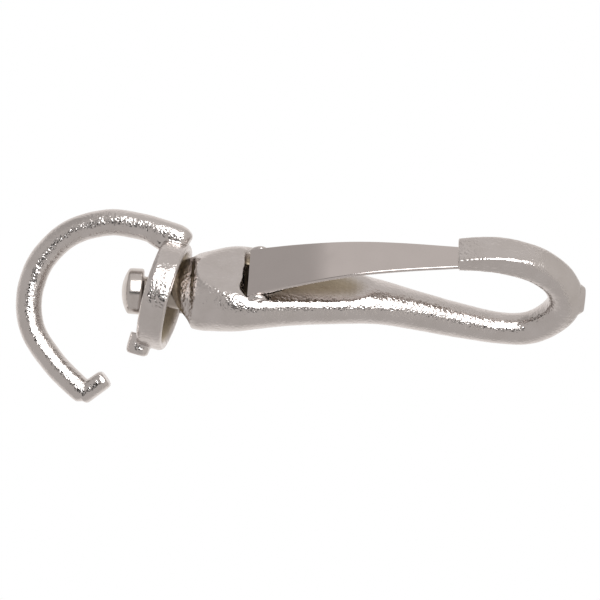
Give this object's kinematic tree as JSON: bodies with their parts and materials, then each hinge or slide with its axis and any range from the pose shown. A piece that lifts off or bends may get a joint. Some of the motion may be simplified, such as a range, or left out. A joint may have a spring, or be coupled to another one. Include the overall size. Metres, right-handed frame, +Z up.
{
  "type": "swivel hook",
  "caption": "Cast swivel hook with an open eye on a cupped collar, a headed stud, a tapering hook and a leaf-spring gate that closes the throat.",
  "frame": {"origin": "on the swivel stud's centre line at the height of the eye's inner top, where a strap or link in the eye carries the hook", "axes": "+Z up along the stud's centre line; +X from the spine towards the gate and nose; +Y square to the hook's plane"},
  "size_m": [0.0289, 0.0236, 0.0896],
  "materials": {
    "swivel_eye": "bright nickel plating over a slightly rough casting",
    "swivel_stud": "nickel-plated steel, dull where the plating is thin",
    "hook_body": "bright nickel plating over a slightly rough casting",
    "gate_spring": "smooth bright nickel-plated spring steel"
  },
  "bodies": {
    "eye": {"swivel_eye": "swivel_eye"},
    "stud": {"swivel_stud": "swivel_stud"},
    "hook": {"hook_body": "hook_body"},
    "gate": {"gate_spring": "gate_spring"}
  },
  "joints": [
    {"name": "eye_rock", "type": "hinge", "parent": "eye", "child": "stud", "pos_m": [0, 0, -0.01685], "axis": [-0.9598, 0.2807, 0], "range_deg": [0, 27.2]},
    {"name": "swivel", "type": "hinge", "parent": "stud", "child": "hook", "pos_m": [0, 0, -0.0235], "axis": [0, 0, 1], "continuous": true},
    {"name": "gate", "type": "hinge", "parent": "hook", "child": "gate", "pos_m": [0.0055, 0, -0.0314], "axis": [0, 1, 0], "range_deg": [0, 14], "stiffness_Nm_per_rad": 1.2, "springref_deg": -6.88}
  ]
}
